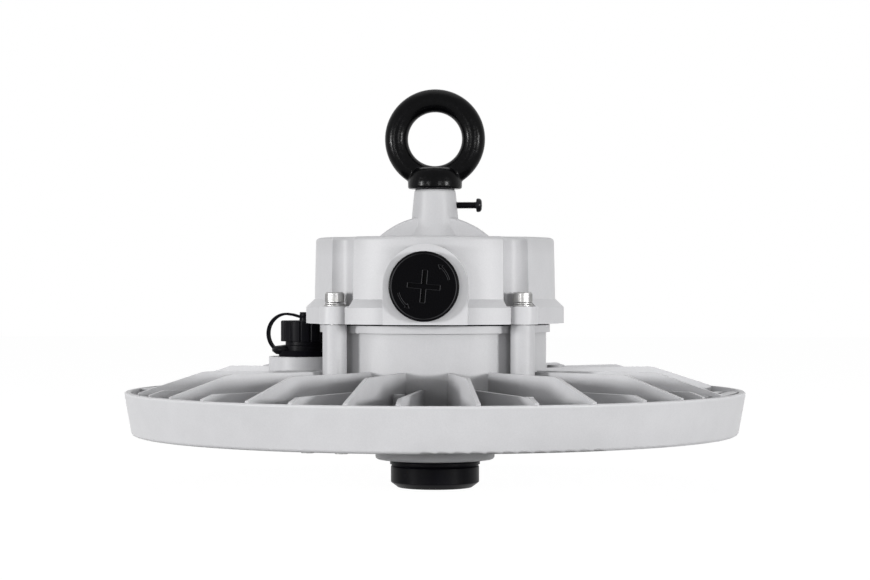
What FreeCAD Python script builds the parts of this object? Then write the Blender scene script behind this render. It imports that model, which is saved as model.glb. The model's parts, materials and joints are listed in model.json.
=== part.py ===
import FreeCAD, Part
import os
import re
import Sketcher

# A round high bay luminaire: a die-cast heat sink with a driver drum, a cast terminal cover with an
# eye bolt, a capped lead connector, and a sensor cap under the middle of the lens.
# Millimetres. Z is up, measured from the flat end of the sensor cap. The blanking plug faces -Y.

os.makedirs("parts", exist_ok=True)
doc = FreeCAD.newDocument("high_bay_light")
sheet = doc.addObject("Spreadsheet::Sheet", "dims")

# ---------------------------------------------------------------- driving dimensions
sizes = {
    # heat sink casting
    "rim_radius": 139.7,            # outside, at the upper edge
    "rim_foot_radius": 136.2,       # outside, at the lower edge
    "rim_wall": 2.8,
    "rim_height": 19.2,
    "rim_drop": 4.9,                # rim edge below the underside of the plate
    "rim_edge": 0.9,                # rounding of the upper edge
    "rim_foot_edge": 1.8,           # rounding of the lower edge
    "plate_thick": 3.5,
    "wire_hole": 10.0,              # radius of the hole in the middle of the plate
    "drum_radius": 50.3,
    "drum_wall": 3.5,
    "drum_height": 40.6,            # above the plate
    "drum_flange": 1.7,             # how far the upper ring stands out
    "drum_flange_depth": 3.3,
    # cooling fins, between the drum and the rim
    "fin_height": 20.4,
    "fin_knee": 106.0,              # radius at which a long fin starts to fall
    "fin_knee_round": 14.0,
    "fin_thick": 2.3,               # at the root
    "fin_draft": 1.0,               # degrees each side
    "short_fin_height": 13.2,
    "fin_angle_one": 11.3,          # long fins, degrees each side of the front and of the back
    "fin_angle_two": 31.3,
    "fin_angle_three": 52.3,
    "fin_angle_four": 69.0,
    "short_angle_one": 21.4,        # short fins, the same way
    "short_angle_two": 42.3,
    "short_angle_three": 60.6,
    "fin_turn": 1.0,                # the middle groups of fins stand a little anticlockwise
    "middle_fin_angle": 2.2,        # the short fin beside the front line
    # bosses cast on the plate
    "boss_radius": 2.6,
    "boss_height": 12.2,
    "boss_circle": 74.0,
    "boss_turn": 3.4,               # degrees from a long fin to the boss beside it
    "rim_boss_radius": 1.7,         # thin boss near the rim
    "rim_boss_circle": 119.0,
    "rim_boss_angle": 22.7,
    "rim_boss_height": 13.2,
    "rim_boss_bore": 0.9,
    "rim_boss_bore_depth": 6.0,
    "bracket_box_wide": 44.0,       # slotted block inside the rim, at each side
    "bracket_box_deep": 27.0,
    "bracket_box_height": 10.8,
    "bracket_box_wall": 3.6,
    "bracket_box_floor": 1.8,
    "bracket_box_angle": 78.0,
    "blank_boss_radius": 4.0,
    "blank_boss_circle": 60.4,
    "blank_boss_height": 21.5,
    # columns that carry the cover
    "column_radius": 5.3,
    "ear_radius": 6.7,
    "column_circle": 58.0,
    "column_gap": 0.3,              # below the cover
    "tapped_depth": 17.0,
    # cover
    "gasket_thick": 0.7,
    "gasket_width": 3.4,
    "cover_radius": 54.4,
    "cover_draft": 0.6,             # smaller at the top by this much
    "cover_height": 38.3,
    "cover_roof": 4.0,
    "cover_flange": 58.3,
    "cover_flange_height": 7.2,
    "cover_flare": 3.7,             # height of the slope above the flange
    "cover_edge": 1.8,
    "web_edge": 1.4,
    "ear_height": 7.8,
    "scallop_radius": 8.6,
    "plug_boss_radius": 18.2,
    "plug_boss_face": 60.4,         # from the axis to the face
    "plug_height": 16.5,            # plug axis above the cover's lower face
    "plug_bore": 12.6,
    "web_thick": 16.0,
    "web_rise": 10.1,
    "web_half_length": 25.4,
    "web_joint": 0.8,               # fillet where the web meets the neck
    "neck_radius": 9.3,             # at the top
    "neck_draft": 1.6,              # larger at the foot by this much
    "neck_height": 22.0,
    "neck_edge": 1.4,
    "neck_foot_height": 4.9,
    "neck_flare": 1.8,
    "neck_bore_spare": 1.5,         # depth left under the eye bolt's shank
    # cover screws with their washers
    "screw_radius": 2.5,
    "screw_length": 22.0,
    "screw_head_radius": 4.25,
    "screw_head_height": 4.6,
    "screw_socket": 2.0,            # half across the flats
    "screw_gap": 0.2,
    "flat_washer_radius": 4.7,
    "flat_washer_thick": 0.6,
    "spring_washer_radius": 4.3,
    "spring_washer_thick": 1.0,
    # eye bolt
    "eye_bore": 25.0,
    "eye_section": 10.0,
    "eye_collar_radius": 12.0,
    "eye_collar_height": 3.2,
    "eye_neck_radius": 11.5,
    "eye_cone_radius": 9.8,
    "eye_cone_drop": 1.6,           # top of the cone below the bore of the ring
    "eye_shank_radius": 5.0,
    "eye_shank_length": 16.0,
    "eye_seal_thick": 0.5,
    "eye_seal_radius": 8.9,
    "lock_screw_radius": 1.5,
    "lock_screw_drop": 7.1,         # below the top of the neck
    "lock_screw_reach": 18.8,       # from the axis to the back of its head
    "lock_head_radius": 3.1,
    "lock_head_height": 2.5,
    "lock_cross_half": 1.8,
    "lock_cross_wide": 0.6,
    "lock_cross_depth": 1.2,
    # blanking plug
    "plug_radius": 15.1,
    "plug_head": 2.6,
    "plug_thread_length": 8.0,
    "plug_slot_half": 6.9,
    "plug_slot_wide": 2.1,
    "plug_slot_depth": 1.4,
    "plug_seal_thick": 0.8,
    "plug_seal_radius": 13.9,
    # lead connector with its tethered cap
    "connector_circle": 70.3,
    "connector_angle": 116.2,
    "connector_pad_radius": 17.0,
    "connector_pad_height": 25.0,
    "connector_seal_radius": 12.4,
    "connector_seal_thick": 0.8,
    "connector_base_radius": 9.9,
    "connector_base_height": 4.5,
    "connector_neck_radius": 9.3,
    "connector_neck_height": 1.8,
    "connector_thread_radius": 8.0,
    "connector_thread_length": 6.6,
    "connector_lead_radius": 3.0,
    "cap_radius": 11.45,
    "cap_height": 9.7,
    "cap_wall": 2.6,
    "cap_edge": 0.7,
    "cap_flute": 0.8,
    "button_radius": 1.25,
    "button_height": 3.9,
    "button_head_radius": 2.6,
    "button_head_height": 0.9,
    "strap_thick": 1.1,
    "strap_wide": 3.0,
    "strap_turn": 12.0,             # degrees backwards from the left
    "strap_eye": 1.5,               # width of the eye beyond the button
    "strap_reach": 18.9,            # from the connector's axis to the outside of the loop
    "strap_eye_lift": 1.2,          # underside of the eye above the cap
    "strap_shoulder": 5.9,          # where the strap has nearly reached its full height
    "strap_shoulder_drop": 0.4,
    "strap_rise": 3.6,              # top of the loop above the top of the cap
    "strap_tail_angle": 50.0,       # below the middle of the loop, where the tail thickens
    "strap_foot_angle": 72.0,       # below the middle, where the loop enters its ring
    "strap_ring_radius": 12.4,
    "strap_ring_thick": 2.0,
    # light engine under the plate
    "board_outer": 127.0,
    "board_inner": 33.0,
    "board_thick": 1.6,
    "board_head_height": 0.7,       # low heads, to stay clear of the lens
    "chip_size": 3.0,
    "chip_height": 0.6,
    "chip_ring_inner": 58.0,
    "chip_ring_pitch": 24.0,
    "lens_gap": 0.5,                # round the edges of the lens
    "lens_edge": 5.0,               # width of the thick edges of the lens
    "lens_thick": 1.4,
    "lens_foot": 1.0,               # above the rim's lower edge
    "lens_dome_radius": 7.0,
    "lens_dome_height": 0.8,
    "lens_gasket_thick": 0.6,
    "lens_screw_radius": 1.5,
    "lens_screw_head": 2.65,
    "lens_screw_head_height": 1.5,
    "lens_screw_grip": 2.4,         # length held in the plate
    "lens_screw_pair": 3.2,         # degrees each side of the pair's middle
    "lens_screw_turn": 15.8,        # from the front to the middle of the first pair
    # sensor under the middle
    "sensor_radius": 20.0,
    "sensor_height": 11.9,
    "sensor_wall": 2.2,
    "sensor_chamfer": 3.2,
    "sensor_chamfer_height": 2.4,
    "sensor_lip": 0.4,
    "sensor_lip_height": 1.5,
    "sensor_groove": 0.5,
    "sensor_seal_thick": 0.4,
    "sensor_seal_width": 4.0,
    "collar_radius": 27.0,
    "collar_height": 17.2,
    "collar_foot_radius": 20.6,
    "collar_slope": 0.6,
    "collar_edge": 1.2,
    "collar_wall": 2.6,
    "socket_radius": 13.4,
    "socket_reach": 4.0,            # below the collar
    "socket_height": 9.0,           # above the collar's floor
    "socket_flange": 2.2,
    "collar_screw_circle": 20.6,
    "collar_flange": 7.6,           # width of the ring under the plate
    # inside the drum
    "grommet_flange": 2.4,
    "grommet_flange_thick": 1.2,
    "grommet_wall": 2.2,
    "driver_long": 66.0,
    "driver_wide": 48.0,
    "driver_high": 27.0,
    "driver_foot": 1.6,
    "driver_foot_long": 7.0,
    "terminal_long": 34.0,
    "terminal_wide": 20.0,
    "terminal_high": 16.0,
    "small_screw_radius": 1.5,
    "small_head_radius": 2.8,
    "small_head_height": 1.8,
    "small_screw_length": 4.5,
    "clearance": 0.3,               # between parts that pass or sit side by side
}
for row, (name, value) in enumerate(sizes.items(), 1):
    sheet.set("A%d" % row, name)
    sheet.set("B%d" % row, str(value))
    sheet.setAlias("B%d" % row, name)
doc.recompute()

# heights and radii that follow from the driving dimensions, as formulas
levels = {
    "collar_foot": "sensor_height + sensor_seal_thick",
    "plate_under": "collar_foot + collar_height",
    "plate_top": "plate_under + plate_thick",
    "plate_middle": "plate_top - plate_thick / 2",
    "rim_foot": "plate_under - rim_drop",
    "rim_top": "rim_foot + rim_height",
    "rim_inside": "rim_foot_radius - rim_wall",
    "fin_top": "plate_top + fin_height",
    "drum_top": "plate_top + drum_height",
    "drum_inside": "drum_radius - drum_wall",
    "cover_foot": "drum_top + gasket_thick",
    "cover_top": "cover_foot + cover_height",
    "cover_ceiling": "cover_top - cover_roof",
    "ear_top": "cover_foot + ear_height",
    "spring_seat": "ear_top + flat_washer_thick",
    "screw_seat": "spring_seat + spring_washer_thick",
    "screw_hole": "screw_radius + screw_gap",
    "column_top": "cover_foot - column_gap",
    "plug_axis": "cover_foot + plug_height",
    "plug_seat": "plug_boss_face + plug_seal_thick",
    "plug_thread": "plug_bore - screw_gap",
    "neck_top": "cover_top + neck_height",
    "neck_root": "neck_radius + neck_draft",
    "eye_foot": "neck_top + eye_seal_thick",
    "eye_middle": "(eye_bore + eye_section) / 2",
    "eye_centre": "eye_foot + eye_middle + eye_section / 2",
    "eye_hole": "eye_shank_radius + screw_gap",
    "lock_axis": "neck_top - lock_screw_drop",
    "web_radius": "(web_half_length ^ 2 + web_rise ^ 2) / (2 * web_rise)",
    "web_centre": "cover_top + web_rise - web_radius",
    "connector_x": "0 - connector_circle * sin(connector_angle)",
    "connector_y": "0 - connector_circle * cos(connector_angle)",
    "connector_seat": "plate_top + connector_pad_height",
    "connector_foot": "connector_seat + connector_seal_thick",
    "connector_neck": "connector_foot + connector_base_height",
    "connector_thread": "connector_neck + connector_neck_height",
    "connector_top": "connector_thread + connector_thread_length",
    "cap_top": "connector_thread + cap_height",
    "cap_inside": "cap_radius - cap_wall",
    "button_top": "cap_top + button_height",
    "strap_top": "cap_top + strap_rise",
    "strap_half": "(strap_top - connector_foot) / 2",
    "strap_middle": "connector_foot + strap_half",
    "strap_bend": "strap_reach - strap_half",
    "board_under": "plate_under - board_thick",
    "lens_under": "rim_foot + lens_foot",
    "lens_seat": "plate_under - lens_gasket_thick",
    "lens_outer": "rim_inside - lens_gap",
    "lens_inner": "collar_radius + lens_gap",
    "lens_screw_circle": "rim_inside - lens_screw_head - clearance",
    "collar_floor": "collar_foot + collar_wall",
    "collar_inside": "collar_radius - collar_wall",
    "driver_top": "plate_top + driver_high",
    "small_hole": "small_screw_radius + screw_gap",
}
words = re.compile(r"[a-z][a-z_]*")


def formula(text):
    """Expression text with every level written out and every size pointing at its cell."""
    def swap(match):
        word = match.group(0)
        if word in levels:
            return "(" + formula(levels[word]) + ")"
        return "dims." + word if word in sizes else word
    return words.sub(swap, text)


def number(text):
    return float(sheet.evalExpression(formula(text)))


# ---------------------------------------------------------------- modelling helpers
def new_body(label):
    body = doc.addObject("PartDesign::Body", label)
    body.Label = label
    body.AllowCompound = True
    return body


def new_sketch(body, name, role, lift=None):
    """Sketch on an origin plane of its own body, lifted along that plane's normal."""
    sketch = body.newObject("Sketcher::SketchObject", name)
    plane = [feature for feature in body.Origin.OriginFeatures if feature.Role == role][0]
    sketch.AttachmentSupport = [(plane, "")]
    sketch.MapMode = "FlatFace"
    if lift:
        sketch.setExpression("AttachmentOffset.Base.z", formula(lift))
    return sketch


def hold(sketch, index, at, point):
    """Bind one end of a line, or a circle's centre, to a pair of expressions."""
    for kind, text, axis in (("DistanceX", point[0], -2), ("DistanceY", point[1], -1)):
        if text == "0":
            sketch.addConstraint(Sketcher.Constraint("PointOnObject", index, at, axis))
        else:
            rule = sketch.addConstraint(Sketcher.Constraint(kind, -1, 1, index, at, number(text)))
            sketch.setExpression("Constraints[%d]" % rule, formula(text))


def outline(sketch, points):
    """Closed outline through pairs of expressions. A point with a third entry starts an arc to the
    next point; the entry holds the arc's centre and whether it runs anticlockwise."""
    ends = [FreeCAD.Vector(number(point[0]), number(point[1]), 0) for point in points]
    first = sketch.GeometryCount
    count = len(points)
    joins = []
    for i, point in enumerate(points):
        start, end = ends[i], ends[(i + 1) % count]
        if len(point) == 2:
            sketch.addGeometry(Part.LineSegment(start, end), False)
            joins.append((1, 2))
        else:
            middle, anticlockwise = point[2]
            centre = FreeCAD.Vector(number(middle[0]), number(middle[1]), 0)
            sketch.addGeometry(arc_about(centre, start, end, anticlockwise), False)
            joins.append((1, 2) if anticlockwise else (2, 1))
    for i in range(count):
        after = (i + 1) % count
        sketch.addConstraint(Sketcher.Constraint("Coincident", first + i, joins[i][1],
                                                 first + after, joins[after][0]))
    for i, point in enumerate(points):
        hold(sketch, first + i, joins[i][0], point)
        if len(point) == 3:
            hold_centre(sketch, first + i, ends[i] - ends[(i + 1) % count], point[2][0])


def arc_about(centre, start, end, anticlockwise):
    if not anticlockwise:
        start, end = end, start
    whole = Part.Circle(centre, FreeCAD.Vector(0, 0, 1), (start - centre).Length)
    return Part.ArcOfCircle(whole, whole.parameter(start), whole.parameter(end))


def hold_centre(sketch, index, chord, centre):
    """The two ends fix an arc's centre along the chord; this fixes it across the chord."""
    kind, text = ("DistanceX", centre[0]) if abs(chord.y) > abs(chord.x) else ("DistanceY", centre[1])
    rule = sketch.addConstraint(Sketcher.Constraint(kind, -1, 1, index, 3, number(text)))
    sketch.setExpression("Constraints[%d]" % rule, formula(text))


def circle(sketch, point, radius):
    centre = FreeCAD.Vector(number(point[0]), number(point[1]), 0)
    index = sketch.addGeometry(Part.Circle(centre, FreeCAD.Vector(0, 0, 1), number(radius)), False)
    hold(sketch, index, 3, point)
    rule = sketch.addConstraint(Sketcher.Constraint("Radius", index, number(radius)))
    sketch.setExpression("Constraints[%d]" % rule, formula(radius))


def strip(sketch, angle, inner, outer, thick):
    """Radial strip seen from above; the angle is counted from the front (-Y) towards +X."""
    def corner(radius, side):
        return ("(%s) * sin(%s) %s (%s) / 2 * cos(%s)" % (radius, angle, side, thick, angle),
                "0 - (%s) * cos(%s) %s (%s) / 2 * sin(%s)" % (radius, angle, side, thick, angle))
    outline(sketch, [corner(inner, "+"), corner(outer, "+"), corner(outer, "-"), corner(inner, "-")])


def spun(body, name, points):
    """Body of revolution about Z from an outline in (radius, height)."""
    sketch = new_sketch(body, name + "_profile", "XZ_Plane")
    outline(sketch, points)
    turn = body.newObject("PartDesign::Revolution", name)
    turn.Profile = sketch
    turn.ReferenceAxis = (sketch, ["V_Axis"])
    turn.Angle = 360
    return turn


def grooved(body, name, points):
    sketch = new_sketch(body, name + "_profile", "XZ_Plane")
    outline(sketch, points)
    groove = body.newObject("PartDesign::Groove", name)
    groove.Profile = sketch
    groove.ReferenceAxis = (sketch, ["V_Axis"])
    groove.Angle = 360
    return groove


def padded(body, name, sketch, length, taper=None, middle=False):
    pad = body.newObject("PartDesign::Pad", name)
    pad.Profile = sketch
    pad.setExpression("Length", formula(length))
    if taper:
        pad.setExpression("TaperAngle", formula(taper))
    if middle:
        pad.Midplane = True
    return pad


def pocketed(body, name, sketch, length, reverse=False, middle=False):
    pocket = body.newObject("PartDesign::Pocket", name)
    pocket.Profile = sketch
    pocket.setExpression("Length", formula(length))
    pocket.Reversed = reverse
    if middle:
        pocket.Midplane = True
    return pocket


def polar(radius, angle):
    """Point on a circle about Z; the angle is counted from the front (-Y) towards +X."""
    return "(%s) * sin(%s)" % (radius, angle), "0 - (%s) * cos(%s)" % (radius, angle)


def discs(body, name, lift, points, radius, length, cut=False):
    """Round pads, or pockets, of one radius at the given points, upwards from a height."""
    sketch = new_sketch(body, name + "_circles", "XY_Plane", lift)
    for point in points:
        circle(sketch, point, radius)
    return pocketed(body, name, sketch, length, reverse=True) if cut else padded(body, name, sketch, length)


def rounded(body, name, base, chosen, radius):
    """Fillet of the edges that the test picks."""
    doc.recompute()
    names = ["Edge%d" % (i + 1) for i, edge in enumerate(base.Shape.Edges) if chosen(edge)]
    fillet = body.newObject("PartDesign::Fillet", name)
    fillet.Base = (base, names)
    fillet.setExpression("Radius", formula(radius))
    return fillet


def ring_edge(radius, height):
    """Test for a round edge about Z of the given radius and height."""
    def test(edge):
        curve = edge.Curve
        return (isinstance(curve, Part.Circle) and abs(curve.Radius - number(radius)) < 0.01
                and abs(curve.Center.z - number(height)) < 0.01
                and abs(curve.Center.x) + abs(curve.Center.y) < 0.01)
    return test


def crossed(body, name, half, wide, lift, depth):
    """Cross-shaped recess about Z, cut upwards from a height."""
    long, short = "(%s)" % half, "(%s / 2)" % wide
    for arm, right, back in (("across", long, short), ("upright", short, long)):
        plan = new_sketch(body, "%s_%s_plan" % (name, arm), "XY_Plane", lift)
        outline(plan, [("0 - " + right, "0 - " + back), (right, "0 - " + back),
                       (right, back), ("0 - " + right, back)])
        pocketed(body, "%s_%s" % (name, arm), plan, depth, reverse=True)


corners = ["45", "135", "225", "315"]
column_places = [polar("column_circle", angle) for angle in corners]
on_axis = [("0", "0")]


def both_ways(names, turn="0"):
    """Each angle to the right and left of the front, and of the back, then turned a little."""
    sides = ("%s", "0 - %s", "180 - %s", "180 + %s")
    return [side % name + " + " + turn for name in names for side in sides]


# ---------------------------------------------------------------- heat sink, one die casting
heat_sink = new_body("heat_sink")
casting = spun(heat_sink, "plate_rim_and_drum", [
    ("wire_hole", "plate_under"),
    ("rim_inside", "plate_under"),
    ("rim_inside", "rim_foot"),
    ("rim_foot_radius", "rim_foot"),
    ("rim_radius", "rim_top"),
    ("rim_radius - rim_wall", "rim_top"),
    ("rim_inside", "plate_top"),
    ("drum_radius", "plate_top"),
    ("drum_radius", "drum_top - drum_flange_depth"),
    ("drum_radius + drum_flange", "drum_top - drum_flange_depth"),
    ("drum_radius + drum_flange", "drum_top"),
    ("drum_inside", "drum_top"),
    ("drum_inside", "plate_top"),
    ("wire_hole", "plate_top"),
])
rim_foot_round = rounded(heat_sink, "rim_foot_round", casting,
                         ring_edge("rim_foot_radius", "rim_foot"), "rim_foot_edge")
rounded(heat_sink, "rim_round", rim_foot_round, ring_edge("rim_radius", "rim_top"), "rim_edge")


# slotted blocks inside the rim; the slots are open at the top and at both ends
box_plan = new_sketch(heat_sink, "bracket_box_plan", "XY_Plane", "plate_middle")
slot_plan = new_sketch(heat_sink, "bracket_slot_plan", "XY_Plane", "plate_top + bracket_box_floor")
slots_in_box = 4
slot_pitch = "((bracket_box_deep - bracket_box_wall) / %d)" % slots_in_box
for angle in ("bracket_box_angle", "180 + bracket_box_angle"):
    strip(box_plan, angle, "rim_inside - bracket_box_deep", "rim_inside + rim_wall / 2", "bracket_box_wide")
    for place in range(slots_in_box):
        inner = "rim_inside - bracket_box_deep + bracket_box_wall + %d * %s" % (place, slot_pitch)
        strip(slot_plan, angle, inner, inner + " + %s - bracket_box_wall" % slot_pitch,
              "bracket_box_wide + clearance")
padded(heat_sink, "bracket_boxes", box_plan, "bracket_box_height + plate_thick / 2")
pocketed(heat_sink, "bracket_slots", slot_plan, "bracket_box_height", reverse=True)


def fin_set(name, angles, height):
    """Drafted fins from inside the drum's wall to inside the rim's wall."""
    plan = new_sketch(heat_sink, name + "_plan", "XY_Plane", "plate_middle")
    for angle in angles:
        strip(plan, angle, "drum_radius - drum_wall / 2", "rim_foot_radius - rim_wall / 4", "fin_thick")
    return padded(heat_sink, name, plan, height + " + plate_thick / 2", taper="0 - fin_draft")


long_angles = both_ways(["fin_angle_one", "fin_angle_four"])
long_angles += both_ways(["fin_angle_two", "fin_angle_three"], "fin_turn")
fin_set("long_fins", long_angles, "fin_height")
short_angles = both_ways(["short_angle_one", "short_angle_three"])
short_angles += both_ways(["short_angle_two"], "fin_turn")
short_angles += ["0 - middle_fin_angle", "180 - middle_fin_angle"]
fin_set("short_fins", short_angles, "short_fin_height")

fin_slope = grooved(heat_sink, "fin_slope", [
    ("fin_knee", "fin_top"),
    ("rim_radius - rim_wall", "rim_top"),
    ("rim_radius + rim_wall", "rim_top"),
    ("rim_radius + rim_wall", "fin_top + rim_wall"),
    ("fin_knee", "fin_top + rim_wall"),
])


def fin_knee_edge(edge):
    ends = [vertex.Point for vertex in edge.Vertexes]
    return len(ends) == 2 and all(
        abs(end.z - number("fin_top")) < 0.01
        and abs((end.x ** 2 + end.y ** 2) ** 0.5 - number("fin_knee")) < 0.01 for end in ends)


rounded(heat_sink, "fin_knees", fin_slope, fin_knee_edge, "fin_knee_round")

connector_place = [("connector_x", "connector_y")]
discs(heat_sink, "columns", "plate_middle", column_places, "column_radius", "column_top - plate_middle")
discs(heat_sink, "connector_pad", "plate_middle", connector_place, "connector_pad_radius",
      "connector_seat - plate_middle")
discs(heat_sink, "blank_boss", "plate_middle", [polar("blank_boss_circle", "connector_angle")],
      "blank_boss_radius", "blank_boss_height + plate_thick / 2")
boss_places = [polar("boss_circle", text + " + boss_turn") for text in
               ("fin_angle_one", "0 - fin_angle_one", "fin_angle_two", "180 + fin_angle_one",
                "180 - fin_angle_one")]
discs(heat_sink, "plate_bosses", "plate_middle", boss_places, "boss_radius",
      "boss_height + plate_thick / 2")
rim_boss_place = [polar("rim_boss_circle", "rim_boss_angle")]
discs(heat_sink, "rim_boss", "plate_middle", rim_boss_place, "rim_boss_radius",
      "rim_boss_height + plate_thick / 2")
discs(heat_sink, "rim_boss_hole", "plate_top + rim_boss_height - rim_boss_bore_depth", rim_boss_place,
      "rim_boss_bore", "rim_boss_bore_depth", cut=True)
discs(heat_sink, "tapped_holes", "column_top - tapped_depth", column_places, "screw_hole",
      "tapped_depth", cut=True)
discs(heat_sink, "lead_hole", "plate_under", connector_place, "connector_lead_radius",
      "connector_seat - plate_under", cut=True)

# ---------------------------------------------------------------- cover casting
top_cover = new_body("top_cover")
spun(top_cover, "cover_shell", [
    ("drum_inside", "cover_foot"),
    ("cover_flange", "cover_foot"),
    ("cover_flange", "cover_foot + cover_flange_height"),
    ("cover_radius", "cover_foot + cover_flange_height + cover_flare"),
    ("cover_radius - cover_draft", "cover_top"),
    ("0", "cover_top"),
    ("0", "cover_ceiling"),
    ("drum_inside", "cover_ceiling"),
])
discs(top_cover, "cover_ears", "cover_foot", column_places, "ear_radius", "ear_height")
scallops = discs(top_cover, "scallops", "ear_top", column_places, "scallop_radius",
                 "cover_top - ear_top", cut=True)


def cover_rim_edge(edge):
    return (isinstance(edge.Curve, Part.Circle) and edge.BoundBox.ZLength < 0.01
            and abs(edge.BoundBox.ZMin - number("cover_top")) < 0.01)


rounded(top_cover, "cover_round", scallops, cover_rim_edge, "cover_edge")
arch = new_sketch(top_cover, "plug_boss_face", "XZ_Plane", "drum_inside + cover_roof / 4")
outline(arch, [
    ("0 - plug_boss_radius", "cover_foot"),
    ("plug_boss_radius", "cover_foot"),
    ("plug_boss_radius", "plug_axis", (("0", "plug_axis"), True)),
    ("0 - plug_boss_radius", "plug_axis"),
])
padded(top_cover, "plug_boss", arch, "plug_boss_face - drum_inside - cover_roof / 4")
web = new_sketch(top_cover, "web_side", "XZ_Plane")
outline(web, [
    ("0 - web_half_length", "cover_top - cover_roof / 2"),
    ("web_half_length", "cover_top - cover_roof / 2"),
    ("web_half_length", "cover_top", (("0", "web_centre"), True)),
    ("0 - web_half_length", "cover_top"),
])
web_pad = padded(top_cover, "web", web, "web_thick", middle=True)


def web_edge(edge):
    curve = edge.Curve
    return isinstance(curve, Part.Circle) and abs(curve.Radius - number("web_radius")) < 0.01


rounded(top_cover, "web_round", web_pad, web_edge, "web_edge")
neck = spun(top_cover, "neck", [
    ("0", "cover_top - cover_roof / 2"),
    ("neck_root + neck_flare", "cover_top - cover_roof / 2"),
    ("neck_root + neck_flare", "cover_top"),
    ("neck_root", "cover_top + neck_foot_height"),
    ("neck_radius", "neck_top"),
    ("0", "neck_top"),
])
neck_round = rounded(top_cover, "neck_round", neck, ring_edge("neck_radius", "neck_top"), "neck_edge")


def web_joint_edge(edge):
    """Edges on the flat sides of the web that the neck's foot bounds."""
    box = edge.BoundBox
    side = abs(abs(box.YMin) - number("web_thick") / 2) + abs(abs(box.YMax) - number("web_thick") / 2)
    reach = max(abs(box.XMin), abs(box.XMax))
    return side < 0.01 and box.ZLength > 1 and reach < number("neck_root + neck_flare")


rounded(top_cover, "web_joints", neck_round, web_joint_edge, "web_joint")
discs(top_cover, "eye_bolt_hole", "neck_top - eye_shank_length - neck_bore_spare", on_axis, "eye_hole",
      "eye_shank_length + neck_bore_spare", cut=True)
lock_hole = new_sketch(top_cover, "lock_screw_hole_circle", "YZ_Plane")
circle(lock_hole, ("0", "lock_axis"), "lock_screw_radius + screw_gap")
pocketed(top_cover, "lock_screw_hole", lock_hole, "neck_root", reverse=True)
plug_hole = new_sketch(top_cover, "plug_hole_circle", "XZ_Plane")
circle(plug_hole, ("0", "plug_axis"), "plug_bore")
pocketed(top_cover, "plug_hole", plug_hole, "plug_boss_face", reverse=True)
discs(top_cover, "cover_screw_holes", "cover_foot", column_places, "screw_hole", "ear_height", cut=True)

# ---------------------------------------------------------------- between the castings
cover_gasket = new_body("cover_gasket")
spun(cover_gasket, "gasket_ring", [
    ("drum_inside", "drum_top"),
    ("drum_inside + gasket_width", "drum_top"),
    ("drum_inside + gasket_width", "cover_foot"),
    ("drum_inside", "cover_foot"),
])


def rings(label, height, places, outer, inner, thick):
    """One flat ring on each place, as separate solids of one node."""
    body = new_body(label)
    discs(body, label + "_discs", height, places, outer, thick)
    discs(body, label + "_holes", height, places, inner, thick, cut=True)
    return body


rings("flat_washers", "ear_top", column_places, "flat_washer_radius", "screw_hole", "flat_washer_thick")
spring_washers = rings("spring_washers", "spring_seat", column_places, "spring_washer_radius",
                       "screw_hole", "spring_washer_thick")
split = new_sketch(spring_washers, "washer_split_plan", "XY_Plane", "spring_seat")
for angle in corners:
    strip(split, angle, "column_circle + screw_radius", "column_circle + flat_washer_radius",
          "2 * clearance")
pocketed(spring_washers, "washer_split", split, "spring_washer_thick", reverse=True)


def hexagon(sketch, place, half):
    """Hexagon about a point, half its width across the flats."""
    corner = "%s + (%s) / cos(30) * %s(%d)"
    outline(sketch, [(corner % (place[0], half, "cos", turn), corner % (place[1], half, "sin", turn))
                     for turn in range(0, 360, 60)])


cover_screws = new_body("cover_screws")
discs(cover_screws, "cover_screw_heads", "screw_seat", column_places, "screw_head_radius",
      "screw_head_height")
discs(cover_screws, "cover_screw_shanks", "screw_seat - screw_length", column_places, "screw_radius",
      "screw_length")
sockets = new_sketch(cover_screws, "socket_hexagons", "XY_Plane", "screw_seat + screw_head_height / 2")
for place in column_places:
    hexagon(sockets, place, "screw_socket")
pocketed(cover_screws, "cover_screw_sockets", sockets, "screw_head_height / 2", reverse=True)

# ---------------------------------------------------------------- eye bolt and its lock screw
eye_ring = doc.addObject("Part::Torus", "eye_ring")
eye_ring.setExpression("Radius1", formula("eye_middle"))
eye_ring.setExpression("Radius2", formula("eye_section / 2"))
eye_ring.Placement = FreeCAD.Placement(FreeCAD.Vector(), FreeCAD.Rotation(FreeCAD.Vector(1, 0, 0), 90))
eye_ring.setExpression("Placement.Base.z", formula("eye_centre"))
eye_stem = new_body("eye_stem")
spun(eye_stem, "eye_collar_and_shank", [
    ("0", "eye_foot - eye_shank_length"),
    ("eye_shank_radius", "eye_foot - eye_shank_length"),
    ("eye_shank_radius", "eye_foot"),
    ("eye_collar_radius", "eye_foot"),
    ("eye_collar_radius", "eye_foot + eye_collar_height"),
    ("eye_neck_radius", "eye_foot + eye_collar_height"),
    ("eye_cone_radius", "eye_centre - eye_bore / 2 - eye_cone_drop"),
    ("0", "eye_centre - eye_bore / 2 - eye_cone_drop"),
])
eye_bolt = doc.addObject("Part::Fuse", "eye_bolt")
eye_bolt.Base = eye_ring
eye_bolt.Tool = eye_stem

rings("eye_seal", "neck_top", on_axis, "eye_seal_radius", "eye_shank_radius + screw_gap", "eye_seal_thick")

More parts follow.
